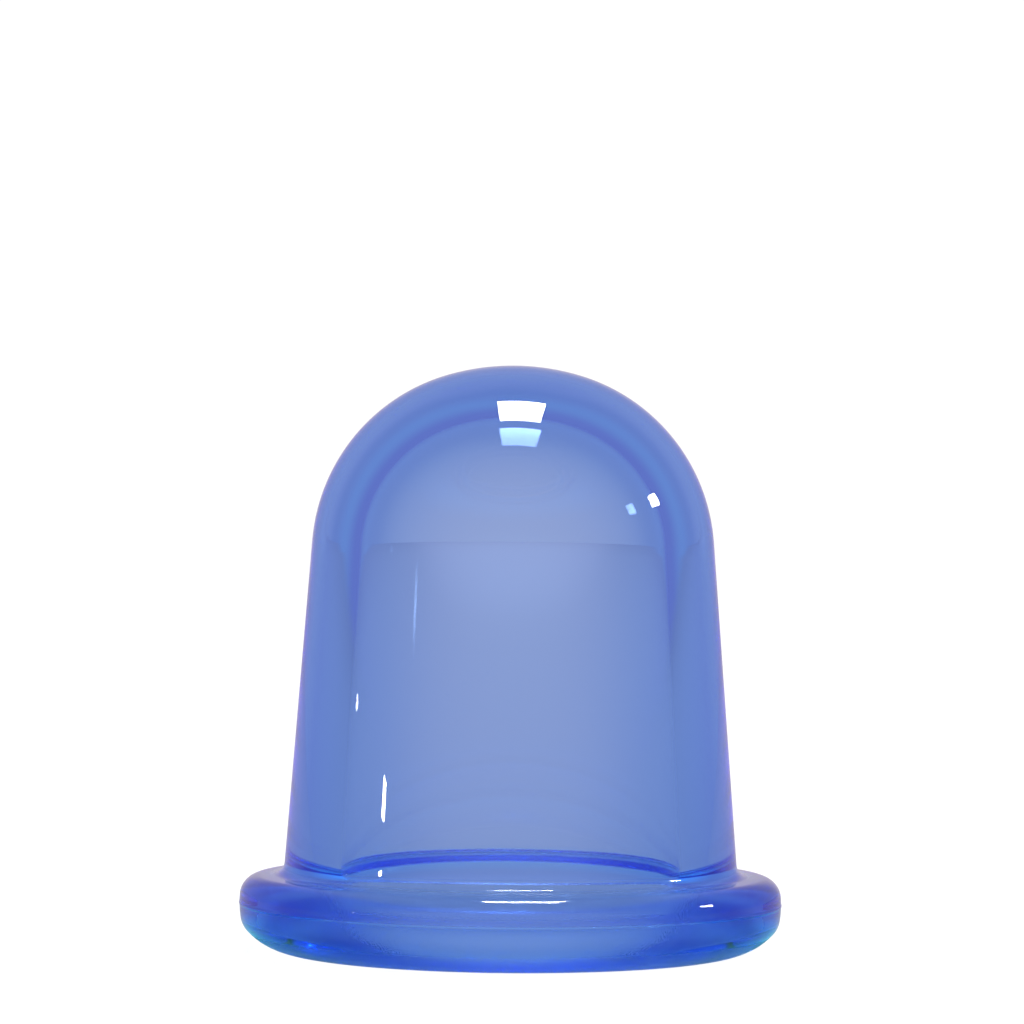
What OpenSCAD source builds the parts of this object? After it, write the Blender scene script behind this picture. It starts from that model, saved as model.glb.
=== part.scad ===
// Silicone cupping cup: a thick-walled dome with a rounded rim, moulded in one piece.
// The open mouth faces down. The origin is at the centre of the flat land that the rim
// stands on, and +Z runs up the axis of the cup. All lengths are in millimetres.

/* [Overall] */
// Outer diameter of the rim, at the mould's parting line
rim_d = 60; // [57:0.5:64]
// Height from the land under the rim to the top of the crown
cup_h = 64.8; // [58:0.2:75]

/* [Outside of the body] */
// Diameter of the outer wall's cone where it meets the plane of the land
body_base_d = 51.5; // [50.5:0.1:52.5]
// Draft of the outer wall, in degrees from the axis
body_draft = 4.45; // [3:0.05:5.5]
// Radius of the crown, the shallow arc across the top
crown_r = 26; // [23:0.1:32]
// Radius of the shoulder, the tighter arc between the crown and the wall
shoulder_r = 20.8; // [18:0.1:21.5]

/* [Cavity] */
// Thickness of the crown on the axis
crown_t = 5.4; // [3:0.1:8]
// Diameter of the cavity's cone where it meets the plane of the land
cavity_base_d = 38.6; // [36:0.1:40]
// Draft of the cavity wall, in degrees from the axis
cavity_draft = 3.1; // [2:0.05:4]
// Radius of the cavity's crown arc
cavity_crown_r = 20.5; // [18.5:0.1:26]
// Radius of the cavity's shoulder arc
cavity_shoulder_r = 15.2; // [13:0.1:15.6]

/* [Mouth] */
// Height at which the cavity wall turns into the flared lead-in
flare_h = 5.3; // [4:0.1:6]
// Slope of the flared lead-in, in degrees from the axis
flare_angle = 30; // [20:1:32]
// Radius that blends the cavity wall into the lead-in
flare_r = 8; // [2:0.5:9]
// Radius of the lip between the lead-in and the land
lip_r = 0.8; // [0.4:0.1:1]

/* [Rim] */
// Outer diameter of the flat land that the cup stands on
land_d = 47.4; // [47:0.1:48.4]
// Height of the parting line, where the rim is widest
parting_h = 5.4; // [5:0.1:6]
// Radius of the gently bowed side of the rim
side_r = 10.8; // [8:0.1:16]
// Radius of the rim's lower corner
lower_r = 2.6; // [2:0.1:3]
// Radius of the rim's upper corner
upper_r = 2.3; // [1.2:0.1:2.4]
// Angle of the bowed side below the parting line, in degrees
side_low_angle = 8.9; // [4:0.1:12]
// Angle of the bowed side above the parting line, in degrees
side_up_angle = 5; // [2:0.5:8]
// Fall of the rim's top face away from the wall, in degrees
top_fall = 2; // [0.5:0.5:5]
// Radius of the fillet between the rim's top face and the wall
root_r = 1.4; // [0.5:0.1:2]

/* [Hidden] */
$fn = 180;

// Height at which the cutting profile starts, below the land
cut_z = -1;
// Angle by which an arc runs on inside its larger neighbour, so that the two overlap
lap = 8;

function dir(a) = [cos(a), sin(a)];

// Point where the lines n1 . p = k1 and n2 . p = k2 cross
function cross_point(n1, k1, n2, k2) =
    let (det = n1.x * n2.y - n1.y * n2.x)
    [(k1 * n2.y - n1.y * k2) / det, (n1.x * k2 - k1 * n2.x) / det];

// Centre of the shoulder arc, tangent to a wall n . p = k and, inside, to the crown arc
function shoulder_centre(draft, k, r, crown_c, big_r) =
    let (n = dir(draft), m = dir(draft + 90), q = (k - r) * n - crown_c)
    let (b = q * m, c = q * q - pow(big_r - r, 2))
    (k - r) * n + (sqrt(b * b - c) - b) * m;

function angle_between(from, to) = atan2(to.y - from.y, to.x - from.x);

function line_radius(base_r, draft, z) = base_r - z * tan(draft);

// Outer wall and dome
body_k = body_base_d / 2 * cos(body_draft);
crown_c = [0, cup_h - crown_r];
shoulder_c = shoulder_centre(body_draft, body_k, shoulder_r, crown_c, crown_r);
crown_join = angle_between(crown_c, shoulder_c);

// Cavity wall and dome
cavity_k = cavity_base_d / 2 * cos(cavity_draft);
cavity_crown_c = [0, cup_h - crown_t - cavity_crown_r];
cavity_shoulder_c = shoulder_centre(cavity_draft, cavity_k, cavity_shoulder_r,
    cavity_crown_c, cavity_crown_r);
cavity_join = angle_between(cavity_crown_c, cavity_shoulder_c);

// Rim: bowed side, two corners, and the underside arc that rolls up from the land
side_c = [rim_d / 2 - side_r, parting_h];
lower_c = side_c + (side_r - lower_r) * dir(-side_low_angle);
upper_c = side_c + (side_r - upper_r) * dir(side_up_angle);
land_r = land_d / 2;
under_a = lower_c.x - land_r;
under_r = (pow(under_a, 2) + pow(lower_c.y, 2) - pow(lower_r, 2))
    / (2 * (lower_c.y - lower_r));
under_c = [land_r, under_r];
under_end = angle_between(under_c, lower_c);

// Top face of the rim and its fillet to the wall
top_n = dir(90 - top_fall);
top_end = upper_c + upper_r * top_n;
top_k = top_n * top_end;
body_n = dir(body_draft);
root_corner = cross_point(top_n, top_k, body_n, body_k);
root_c = cross_point(top_n, top_k + root_r, body_n, body_k + root_r);
root_on_top = root_c - root_r * top_n;
root_on_wall = root_c - root_r * body_n;

// Flared mouth: the blend at its upper end and the lip at its lower end
flare_top = [line_radius(cavity_base_d / 2, cavity_draft, flare_h), flare_h];
flare_foot = [flare_top.x + flare_h * tan(flare_angle), 0];
flare_n = dir(flare_angle);
cavity_n = dir(cavity_draft);
blend_c = cross_point(cavity_n, cavity_k + flare_r, flare_n, flare_n * flare_top + flare_r);
lip_c = cross_point(flare_n, flare_n * flare_top + lip_r, [0, 1], lip_r);

// Slice of a disc between two directions less than 120 degrees apart
module pie(c, r, a0, a1) {
    intersection() {
        translate(c) circle(r = r);
        polygon([c, c + 2 * r * dir(a0), c + 2 * r * dir(a1)]);
    }
}

// Point halfway out along the middle of such a slice
function pie_middle(c, r, a0, a1) = c + r / 2 * dir((a0 + a1) / 2);

// Half-section of the whole cup, solid to the axis
module body_section() {
    difference() {
        union() {
            polygon([
                [0, 0],
                [land_r, 0],
                pie_middle(lower_c, lower_r, under_end, -side_low_angle),
                pie_middle(upper_c, upper_r, side_up_angle, 90 - top_fall),
                top_end,
                root_on_top,
                root_c,
                root_on_wall,
                shoulder_c + shoulder_r * body_n,
                pie_middle(shoulder_c, shoulder_r, body_draft, crown_join),
                [0, shoulder_c.y + shoulder_r / 2],
            ]);
            pie(under_c, under_r, -90, under_end);
            pie(lower_c, lower_r, under_end - lap, lap - side_low_angle);
            pie(side_c, side_r, -side_low_angle, side_up_angle);
            pie(upper_c, upper_r, side_up_angle - lap, 90 - top_fall + lap);
            pie(shoulder_c, shoulder_r, body_draft - lap, crown_join + lap);
            pie(crown_c, crown_r, crown_join, 90);
        }
        translate(root_c) circle(r = root_r);
    }
}

// Half-section of the cavity and its flared mouth
module cavity_section() {
    difference() {
        polygon([
            [0, cut_z],
            [lip_c.x, cut_z],
            lip_c,
            lip_c - lip_r * flare_n,
            blend_c - flare_r * flare_n,
            blend_c,
            blend_c - flare_r * cavity_n,
            cavity_shoulder_c + cavity_shoulder_r * cavity_n,
            pie_middle(cavity_shoulder_c, cavity_shoulder_r, cavity_draft, cavity_join),
            [0, cavity_shoulder_c.y + cavity_shoulder_r / 2],
        ]);
        translate(lip_c) circle(r = lip_r);
        translate(blend_c) circle(r = flare_r);
    }
    pie(cavity_shoulder_c, cavity_shoulder_r, cavity_draft - lap, cavity_join + lap);
    pie(cavity_crown_c, cavity_crown_r, cavity_join, 90);
}

module cup() {
    color([0.44, 0.56, 0.84, 0.6])
        rotate_extrude()
            difference() {
                body_section();
                cavity_section();
            }
}

cup();
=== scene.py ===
"""Looks of the silicone cupping cup: one thick, clear blue silicone moulding on a white floor.

The section of the cup is drawn in millimetres with the same arcs and lines as the CAD part,
then turned round the axis and scaled to metres. The studio is in metres.
"""
import math
import bpy
import bmesh
from mathutils import Matrix, Vector, noise


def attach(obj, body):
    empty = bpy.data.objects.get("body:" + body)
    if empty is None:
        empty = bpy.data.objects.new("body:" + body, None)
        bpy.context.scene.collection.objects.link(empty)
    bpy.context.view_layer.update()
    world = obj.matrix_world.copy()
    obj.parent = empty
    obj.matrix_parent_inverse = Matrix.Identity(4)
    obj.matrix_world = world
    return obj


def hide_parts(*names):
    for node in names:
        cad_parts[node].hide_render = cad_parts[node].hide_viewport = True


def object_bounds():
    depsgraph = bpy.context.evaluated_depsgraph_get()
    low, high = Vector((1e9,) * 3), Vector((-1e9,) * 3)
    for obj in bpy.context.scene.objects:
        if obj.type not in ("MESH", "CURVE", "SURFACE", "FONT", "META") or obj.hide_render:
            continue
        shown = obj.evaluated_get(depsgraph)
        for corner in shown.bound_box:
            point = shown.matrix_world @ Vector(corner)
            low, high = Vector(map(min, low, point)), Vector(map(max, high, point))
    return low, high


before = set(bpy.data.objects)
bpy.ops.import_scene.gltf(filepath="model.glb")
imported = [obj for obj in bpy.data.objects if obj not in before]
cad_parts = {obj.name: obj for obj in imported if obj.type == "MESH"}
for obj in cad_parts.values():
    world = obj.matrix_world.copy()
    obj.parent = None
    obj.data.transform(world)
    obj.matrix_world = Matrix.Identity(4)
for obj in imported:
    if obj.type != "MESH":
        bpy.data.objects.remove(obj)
CAD_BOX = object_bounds()

MM = 0.001

# Overall sizes, from the frame
CUP_H = (CAD_BOX[1].z - CAD_BOX[0].z) / MM
RIM_R = (CAD_BOX[1].x - CAD_BOX[0].x) / MM / 2

# Outside of the body
BODY_BASE_R = 25.75
BODY_DRAFT = 4.45
CROWN_R = 26
SHOULDER_R = 20.8

# Cavity
CROWN_T = 5.4
CAVITY_BASE_R = 19.3
CAVITY_DRAFT = 3.1
CAVITY_CROWN_R = 20.5
CAVITY_SHOULDER_R = 15.2

# Mouth
FLARE_H = 5.3
FLARE_ANGLE = 30
FLARE_R = 8
LIP_R = 0.8

# Rim
LAND_R = 23.7
PARTING_H = 5.4
SIDE_R = 10.8
LOWER_R = 2.6
UPPER_R = 2.3
SIDE_LOW_ANGLE = 8.9
SIDE_UP_ANGLE = 5
TOP_FALL = 2
ROOT_R = 1.4

# Flash: the fine ridge that the mould's parting line leaves round the rim
FLASH_H = 0.07
FLASH_W = 0.16
FLASH_WAVE = 0.35

# Slow unevenness of the moulded skin, which fades out towards the rim
SKIN_WAVE_H = 0.004
SKIN_WAVE_SIZE = 14
SKIN_WAVE_LOW = 10

# Mesh
SEGMENTS = 360
ARC_STEP = 0.6
LINE_STEP = 1.2
CORNER_STEP = 0.12
FLASH_STEP = 0.04

# Silicone: what it does to the light that crosses it, with the density per metre
SILICONE_IOR = 1.41
ABSORB_COLOUR = (0.0, 0.46, 0.985)
ABSORB_DENSITY = 91

# Skin: polished outside, matt in the mouth and under the rim, and a share of that in the cavity
GLOSS_ROUGHNESS = 0.005
MATT_ROUGHNESS = 0.3
CAVITY_MATT = 0.1
UNDERSIDE_H = 2.0
GRAIN_SIZE = 0.18
GRAIN_H = 0.008

# Studio: colour of the light that falls on the cup, by heading from -1 in front to 1 behind
WALL_LIGHTS = (
    (-1.0, (1.3, 1.05, 0.95)),
    (-0.2, (0.34, 0.32, 0.64)),
    (0.25, (0.34, 0.32, 0.64)),
    (0.6, (0.37, 0.33, 0.57)),
    (0.8, (0.44, 0.5, 0.65)),
    (0.92, (0.46, 0.46, 0.6)),
    (1.0, (0.65, 0.58, 0.66)),
)
FLOOR_LIGHTS = (
    (-1.0, (0.75, 0.8, 0.75)),
    (-0.4, (0.36, 0.34, 0.42)),
    (0.4, (0.36, 0.34, 0.42)),
    (0.98, (0.43, 0.39, 0.47)),
    (1.0, (0.57, 0.5, 0.58)),
)

# Floor close to the cup: painted light in its glow by distance from the axis. Under the cup a dim blue
# painted shadow of the cup, the same all round; in front a painted blue-cyan glow, behind a dimmer
# blue-tinted painted glow
UNDER_R = 0.022
# Painted shadow of the cup: dim blue glow of the floor under it
PAINTED_CUP_SHADOW = (0.22, 0.28, 0.46)
NEAR_R = 0.045
# Painted light in front of the cup: blue-cyan glow standing in for light that crossed the silicone
NEAR_FRONT_PAINTED_LIGHT = (
    (UNDER_R, PAINTED_CUP_SHADOW),
    (0.03, (0.12, 0.68, 0.8)),
    (NEAR_R, (0.18, 0.78, 1.15)),
)
# Painted light behind the cup: dimmer blue-tinted glow
NEAR_BACK_PAINTED_LIGHT = (
    (UNDER_R, PAINTED_CUP_SHADOW),
    (NEAR_R, (0.32, 0.42, 0.5)),
)
# Distance at which the floor's near painted light has passed into its far light
FAR_R = 0.075
# Headings between which the near painted light turns from front to back
BACK_HEADINGS = (0.1, 0.6)

# Level that a light ramp's full value stands for, because a ramp only holds values up to 1
BRIGHTEST = 1.3

# White of the backdrop and of the floor where the lens sees them straight
WHITE_LEVEL = 1.05
FLOOR_WHITE_GLOW = 0.97

# Floor: its size and paleness, how far round the cup its headings blend, and its gap to the cup
FLOOR_R = 8
FLOOR_ALBEDO = 0.08
FLOOR_BLEND_H = 0.15
FLOOR_GAP = 0.00002

# Camera
CAMERA_DISTANCE = 0.5
CAMERA_HEIGHT = 0.0486
CAMERA_LENS = 158.8
CAMERA_ROLL = -0.45
CAMERA_X = -0.00015


def direction(angle):
    """Unit vector in the section plane, at an angle in degrees from the +X axis."""
    return Vector((math.cos(math.radians(angle)), math.sin(math.radians(angle))))


def angle_between(start, end):
    return math.degrees(math.atan2(end.y - start.y, end.x - start.x))


def cross_point(n1, k1, n2, k2):
    """Point where the lines n1 . p = k1 and n2 . p = k2 cross."""
    det = n1.x * n2.y - n1.y * n2.x
    return Vector(((k1 * n2.y - n1.y * k2) / det, (n1.x * k2 - k1 * n2.x) / det))


def shoulder_centre(draft, k, r, crown_c, big_r):
    """Centre of the arc that is tangent to a wall n . p = k and, inside, to the crown arc."""
    n, m = direction(draft), direction(draft + 90)
    q = (k - r) * n - crown_c
    b = q.dot(m)
    c = q.dot(q) - (big_r - r) ** 2
    return (k - r) * n + (math.sqrt(b * b - c) - b) * m


def arc(centre, r, start, end, step=ARC_STEP):
    """Points along an arc, both ends included."""
    n = max(4, math.ceil(abs(math.radians(end - start)) * r / step))
    return [centre + r * direction(start + (end - start) * i / n) for i in range(n + 1)]


def line(start, end, step=LINE_STEP):
    """Points between two ends, both left out."""
    n = max(2, math.ceil((end - start).length / step))
    return [start.lerp(end, i / n) for i in range(1, n)]


def rim_section():
    """Rim from the land up to the wall: underside, lower corner, side, upper corner, top, root."""
    side_c = Vector((RIM_R - FLASH_H - SIDE_R, PARTING_H))
    lower_c = side_c + (SIDE_R - LOWER_R) * direction(-SIDE_LOW_ANGLE)
    upper_c = side_c + (SIDE_R - UPPER_R) * direction(SIDE_UP_ANGLE)
    reach = lower_c.x - LAND_R
    under_r = (reach**2 + lower_c.y**2 - LOWER_R**2) / (2 * (lower_c.y - LOWER_R))
    under_c = Vector((LAND_R, under_r))
    under_end = angle_between(under_c, lower_c)
    top_n = direction(90 - TOP_FALL)
    body_n = direction(BODY_DRAFT)
    top_k = top_n.dot(upper_c) + UPPER_R
    body_k = BODY_BASE_R * math.cos(math.radians(BODY_DRAFT))
    root_c = cross_point(top_n, top_k + ROOT_R, body_n, body_k + ROOT_R)
    fine = math.degrees(2 * FLASH_W / SIDE_R)
    points = arc(under_c, under_r, -90, under_end)
    points += arc(lower_c, LOWER_R, under_end, -SIDE_LOW_ANGLE, CORNER_STEP * 2)[1:]
    points += arc(side_c, SIDE_R, -SIDE_LOW_ANGLE, -fine)[1:]
    points += arc(side_c, SIDE_R, -fine, fine, FLASH_STEP)[1:]
    points += arc(side_c, SIDE_R, fine, SIDE_UP_ANGLE)[1:]
    points += arc(upper_c, UPPER_R, SIDE_UP_ANGLE, 90 - TOP_FALL, CORNER_STEP)[1:]
    points += line(points[-1], root_c - ROOT_R * top_n)
    points += arc(root_c, ROOT_R, 270 - TOP_FALL, 180 + BODY_DRAFT, CORNER_STEP)
    return points


def dome_section(height, crown_r, shoulder_r, base_r, draft):
    """Shoulder and crown arcs, from the wall to the axis."""
    k = base_r * math.cos(math.radians(draft))
    crown_c = Vector((0, height - crown_r))
    shoulder_c = shoulder_centre(draft, k, shoulder_r, crown_c, crown_r)
    join = angle_between(crown_c, shoulder_c)
    return arc(shoulder_c, shoulder_r, draft, join) + arc(crown_c, crown_r, join, 90)[1:]


def mouth_section():
    """From the cavity wall down to the land: blend, flared lead-in and lip."""
    cavity_n = direction(CAVITY_DRAFT)
    flare_n = direction(FLARE_ANGLE)
    cavity_k = CAVITY_BASE_R * math.cos(math.radians(CAVITY_DRAFT))
    flare_top_r = CAVITY_BASE_R - FLARE_H * math.tan(math.radians(CAVITY_DRAFT))
    flare_k = flare_n.dot(Vector((flare_top_r, FLARE_H)))
    blend_c = cross_point(cavity_n, cavity_k + FLARE_R, flare_n, flare_k + FLARE_R)
    lip_c = cross_point(flare_n, flare_k + LIP_R, Vector((0, 1)), LIP_R)
    blend = arc(blend_c, FLARE_R, 180 + CAVITY_DRAFT, 180 + FLARE_ANGLE)
    lip = arc(lip_c, LIP_R, 180 + FLARE_ANGLE, 270, CORNER_STEP)
    return blend + line(blend[-1], lip[0]) + lip


def cup_section():
    """Closed outline of the wall, from the land over the outside and back through the cavity.

    Returns the points and the index of the first point inside the cavity."""
    outside = rim_section()
    dome = dome_section(CUP_H, CROWN_R, SHOULDER_R, BODY_BASE_R, BODY_DRAFT)
    outside += line(outside[-1], dome[0]) + dome
    inside = dome_section(
        CUP_H - CROWN_T, CAVITY_CROWN_R, CAVITY_SHOULDER_R, CAVITY_BASE_R, CAVITY_DRAFT
    )[::-1]
    mouth = mouth_section()
    inside += line(inside[-1], mouth[0]) + mouth
    return outside + inside, len(outside)


def on_axis(p):
    return p.x < 1e-6


def turned_mesh(name, section):
    """Mesh of the outline turned round the Z axis. Points on the axis become single vertices."""
    bm = bmesh.new()
    rings = []
    for p in section:
        if on_axis(p):
            rings.append([bm.verts.new((0, 0, p.y * MM))])
            continue
        ring = []
        for k in range(SEGMENTS):
            a = 2 * math.pi * k / SEGMENTS
            ring.append(bm.verts.new((p.x * MM * math.cos(a), p.x * MM * math.sin(a), p.y * MM)))
        rings.append(ring)
    for low, high in zip(rings, rings[1:] + rings[:1]):
        if len(low) == 1 and len(high) == 1:
            continue
        for k in range(SEGMENTS):
            n = (k + 1) % SEGMENTS
            corners = [low[k % len(low)], low[n % len(low)], high[n % len(high)], high[k % len(high)]]
            bm.faces.new(list(dict.fromkeys(corners)))
    bmesh.ops.recalc_face_normals(bm, faces=bm.faces[:])
    mesh = bpy.data.meshes.new(name)
    bm.to_mesh(mesh)
    bm.free()
    mesh.shade_smooth()
    return mesh


def uneven_skin(mesh):
    """Moves the turned mesh off its perfect form: flash on the parting line, slow waves above."""
    for v in mesh.vertices:
        p = v.co / MM
        r = math.hypot(p.x, p.y)
        if r < 1e-6:
            continue
        out = Vector((p.x, p.y, 0)) / r
        fade = min(1, max(0, p.z / SKIN_WAVE_LOW - 1))
        shift = SKIN_WAVE_H * fade * noise.noise(p / SKIN_WAVE_SIZE)
        if r > RIM_R - 1:
            ridge = math.exp(-(((p.z - PARTING_H) / FLASH_W) ** 2))
            shift += FLASH_H * ridge * (1 - FLASH_WAVE * abs(noise.noise(out * 9)))
        v.co += out * shift * MM


def new_object(name, mesh):
    piece = bpy.data.objects.new(name, mesh)
    bpy.context.scene.collection.objects.link(piece)
    return piece


def silicone_material():
    """Clear blue silicone whose colour comes from its depth, with a fine grain where it is matt."""
    material = bpy.data.materials.new("blue_silicone")
    material.use_nodes = True
    tree = material.node_tree
    nodes, links = tree.nodes, tree.links
    shader = nodes["Principled BSDF"]
    shader.inputs["Base Color"].default_value = (1, 1, 1, 1)
    shader.inputs["Transmission Weight"].default_value = 1
    shader.inputs["IOR"].default_value = SILICONE_IOR
    absorb = nodes.new("ShaderNodeVolumeAbsorption")
    absorb.inputs["Color"].default_value = (*ABSORB_COLOUR, 1)
    absorb.inputs["Density"].default_value = ABSORB_DENSITY
    links.new(absorb.outputs["Volume"], nodes["Material Output"].inputs["Volume"])

    matt = nodes.new("ShaderNodeAttribute")
    matt.attribute_name = "matt"
    place = nodes.new("ShaderNodeTexCoord")
    rough = nodes.new("ShaderNodeMapRange")
    rough.inputs["To Min"].default_value = GLOSS_ROUGHNESS
    rough.inputs["To Max"].default_value = MATT_ROUGHNESS
    links.new(matt.outputs["Fac"], rough.inputs["Value"])
    links.new(rough.outputs["Result"], shader.inputs["Roughness"])

    grain = nodes.new("ShaderNodeTexNoise")
    grain.inputs["Scale"].default_value = 1 / (GRAIN_SIZE * MM)
    grain.inputs["Detail"].default_value = 2
    links.new(place.outputs["Object"], grain.inputs["Vector"])
    bump = nodes.new("ShaderNodeBump")
    bump.inputs["Distance"].default_value = GRAIN_H * MM
    links.new(grain.outputs["Fac"], bump.inputs["Height"])
    links.new(matt.outputs["Fac"], bump.inputs["Strength"])
    links.new(bump.outputs["Normal"], shader.inputs["Normal"])
    return material


def matt_share(height, inside):
    """How matt the mould leaves the skin at a height, from 0 for polished to 1 for fully matt."""
    if height < (FLARE_H if inside else UNDERSIDE_H):
        return 1.0
    return CAVITY_MATT if inside else 0.0


def make_cup():
    section, first_inside = cup_section()
    mesh = turned_mesh("silicone_cup", section)
    matt = mesh.attributes.new("matt", "FLOAT", "POINT")
    values = []
    for i, p in enumerate(section):
        count = 1 if on_axis(p) else SEGMENTS
        values += [matt_share(p.y, i >= first_inside)] * count
    matt.data.foreach_set("value", values)
    uneven_skin(mesh)
    mesh.materials.append(silicone_material())
    cup = new_object("silicone_cup", mesh)
    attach(cup, "root")
    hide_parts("cup")
    return cup


def light_ramp(tree, value, stops):
    """Colour that runs smoothly through (position, light) stops, as shares of the brightest."""
    ramp = tree.nodes.new("ShaderNodeValToRGB")
    ramp.color_ramp.interpolation = "EASE"
    elements = ramp.color_ramp.elements
    for _ in stops[2:]:
        elements.new(0.5)
    for element, (position, light) in zip(elements, stops):
        element.position = position
        element.color = (*[level / BRIGHTEST for level in light], 1)
    tree.links.new(value, ramp.inputs["Fac"])
    return ramp.outputs["Color"]


def map_range(tree, value, start, end):
    """Share of the way that a value has come from the start of a range to its end."""
    share = tree.nodes.new("ShaderNodeMapRange")
    share.inputs["From Min"].default_value = start
    share.inputs["From Max"].default_value = end
    tree.links.new(value, share.inputs["Value"])
    return share.outputs["Result"]


def blend_light(tree, share, first, second):
    """Light that passes from the first to the second as the share goes from 0 to 1."""
    blend = tree.nodes.new("ShaderNodeMix")
    blend.data_type = "RGBA"
    tree.links.new(share, blend.inputs["Factor"])
    tree.links.new(first, blend.inputs["A"])
    tree.links.new(second, blend.inputs["B"])
    return blend.outputs["Result"]


def heading_of(tree, place, lift):
    """How far a place, lifted by some height, lies behind the cup: -1 in front, 0 beside, 1 behind."""
    nodes, links = tree.nodes, tree.links
    lifted = nodes.new("ShaderNodeVectorMath")
    lifted.operation = "ADD"
    lifted.inputs[1].default_value = (0, 0, lift)
    links.new(place, lifted.inputs[0])
    way = nodes.new("ShaderNodeVectorMath")
    way.operation = "NORMALIZE"
    links.new(lifted.outputs["Vector"], way.inputs[0])
    parts = nodes.new("ShaderNodeSeparateXYZ")
    links.new(way.outputs["Vector"], parts.inputs["Vector"])
    return parts.outputs["Y"]


def studio_light(tree, place, lift, lights):
    """Light for a place, lifted by some height, by its heading."""
    share = map_range(tree, heading_of(tree, place, lift), -1, 1)
    return light_ramp(tree, share, [((y + 1) / 2, light) for y, light in lights])


def painted_near_light(tree, place, far_light):
    """Painted light of the floor close round the cup: a painted shadow of the cup under it, a painted
    blue glow in front and a painted blue-tinted glow behind, passing into the far light further out.
    """
    length = tree.nodes.new("ShaderNodeVectorMath")
    length.operation = "LENGTH"
    tree.links.new(place, length.inputs[0])
    distance = length.outputs["Value"]
    share = map_range(tree, distance, 0, NEAR_R)
    front, back = (
        light_ramp(tree, share, [(r / NEAR_R, light) for r, light in lights])
        for lights in (NEAR_FRONT_PAINTED_LIGHT, NEAR_BACK_PAINTED_LIGHT)
    )
    turn = map_range(tree, heading_of(tree, place, 0), *BACK_HEADINGS)
    near = blend_light(tree, turn, front, back)
    leave = map_range(tree, distance, NEAR_R, FAR_R)
    return blend_light(tree, leave, near, far_light)


def seen_straight(tree, straight_level):
    """One strength for the light that falls on the cup, another where the lens sees it straight."""
    rays = tree.nodes.new("ShaderNodeLightPath")
    strength = tree.nodes.new("ShaderNodeMapRange")
    strength.inputs["To Min"].default_value = BRIGHTEST
    strength.inputs["To Max"].default_value = straight_level
    tree.links.new(rays.outputs["Is Camera Ray"], strength.inputs["Value"])
    whiten = tree.nodes.new("ShaderNodeMix")
    whiten.data_type = "RGBA"
    whiten.inputs["B"].default_value = (1, 1, 1, 1)
    tree.links.new(rays.outputs["Is Camera Ray"], whiten.inputs["Factor"])
    return whiten, strength.outputs["Result"]


def floor_material():
    """White matt surface that glows like a light table, so real shadows on it stay faint. The lens
    sees it even white; the glow that lights the cup changes by heading as the studio light does, and
    close round the cup it holds a painted shadow of the cup and a painted blue glow for light that
    crossed the silicone.
    """
    material = bpy.data.materials.new("white_floor")
    material.use_nodes = True
    tree = material.node_tree
    shader = tree.nodes["Principled BSDF"]
    shader.inputs["Base Color"].default_value = (FLOOR_ALBEDO,) * 3 + (1,)
    shader.inputs["Roughness"].default_value = 1
    shader.inputs["Specular IOR Level"].default_value = 0
    place = tree.nodes.new("ShaderNodeTexCoord")
    far_light = studio_light(tree, place.outputs["Object"], FLOOR_BLEND_H, FLOOR_LIGHTS)
    light = painted_near_light(tree, place.outputs["Object"], far_light)
    whiten, strength = seen_straight(tree, FLOOR_WHITE_GLOW)
    tree.links.new(light, whiten.inputs["A"])
    tree.links.new(whiten.outputs["Result"], shader.inputs["Emission Color"])
    tree.links.new(strength, shader.inputs["Emission Strength"])
    return material


def make_floor():
    bm = bmesh.new()
    bmesh.ops.create_circle(bm, cap_ends=True, segments=128, radius=FLOOR_R)
    mesh = bpy.data.meshes.new("floor")
    bm.to_mesh(mesh)
    bm.free()
    mesh.materials.append(floor_material())
    floor = new_object("floor", mesh)
    floor.location.z = -FLOOR_GAP


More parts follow.
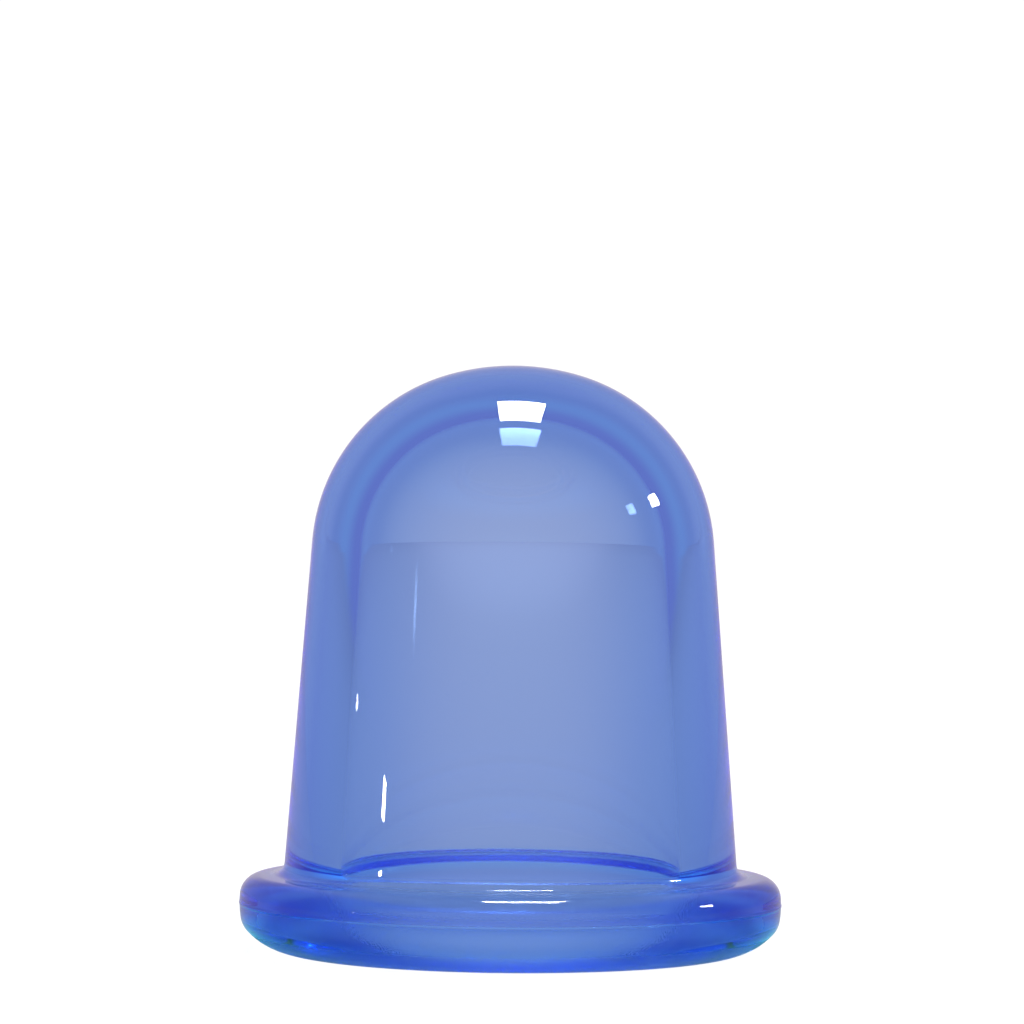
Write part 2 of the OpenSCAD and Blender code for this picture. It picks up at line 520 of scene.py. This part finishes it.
def make_world():
    """Soft light all round, and a white backdrop."""
    world = bpy.data.worlds.new("studio")
    bpy.context.scene.world = world
    world.use_nodes = True
    tree = world.node_tree
    background = tree.nodes["Background"]
    place = tree.nodes.new("ShaderNodeTexCoord")
    light = studio_light(tree, place.outputs["Generated"], 0, WALL_LIGHTS)
    whiten, strength = seen_straight(tree, WHITE_LEVEL)
    tree.links.new(light, whiten.inputs["A"])
    tree.links.new(whiten.outputs["Result"], background.inputs["Color"])
    tree.links.new(strength, background.inputs["Strength"])


def add_lamp(name, place, across, size, power):
    """Rectangular lamp that faces the cup's middle, its width along the heading across.

    The camera doesn't see the lamp itself, only its light and reflections."""
    lamp = bpy.data.lights.new(name, "AREA")
    lamp.shape = "RECTANGLE"
    lamp.size, lamp.size_y = size
    lamp.energy = power
    holder = bpy.data.objects.new(name, lamp)
    back = (Vector(place) - Vector((0, 0, CUP_H * MM / 2))).normalized()
    up = back.cross(Vector(across)).normalized()
    turn = Matrix((up.cross(back), up, back)).transposed()
    holder.matrix_world = Matrix.Translation(place) @ turn.to_4x4()
    holder.visible_camera = False
    bpy.context.scene.collection.objects.link(holder)


def make_lamps():
    add_lamp("top_softbox", (0.12, 0.45, 2.8), (1, 0, 0), (0.78, 0.9), 110)
    add_lamp("right_lamp", (2.7, 0.32, 1.2), (0, 1, 0), (0.34, 0.26), 22)
    add_lamp("left_lamp", (-1.13, -0.45, 0.094), (0, 1, 0), (0.035, 0.015), 0.25)
    add_lamp("left_spark", (-1.2, 0.01, 0.104), (0, 1, 0), (0.012, 0.006), 0.02)


def make_camera():
    camera = bpy.data.cameras.new("camera")
    camera.sensor_width = 36
    camera.lens = CAMERA_LENS
    camera.clip_start = 0.01
    holder = bpy.data.objects.new("camera", camera)
    holder.location = (CAMERA_X, -CAMERA_DISTANCE, CAMERA_HEIGHT)
    holder.rotation_euler = (math.radians(90), math.radians(CAMERA_ROLL), 0)
    bpy.context.scene.collection.objects.link(holder)
    bpy.context.scene.camera = holder


def set_look():
    """Plain colour transform, and enough bounces for light to cross the wall several times."""
    scene = bpy.context.scene
    scene.view_settings.view_transform = "Standard"
    scene.view_settings.look = "None"
    scene.cycles.max_bounces = 32
    scene.cycles.transmission_bounces = 32
    scene.cycles.glossy_bounces = 16
    scene.cycles.sample_clamp_indirect = 10


make_camera()
make_cup()
make_floor()
make_world()
make_lamps()
set_look()
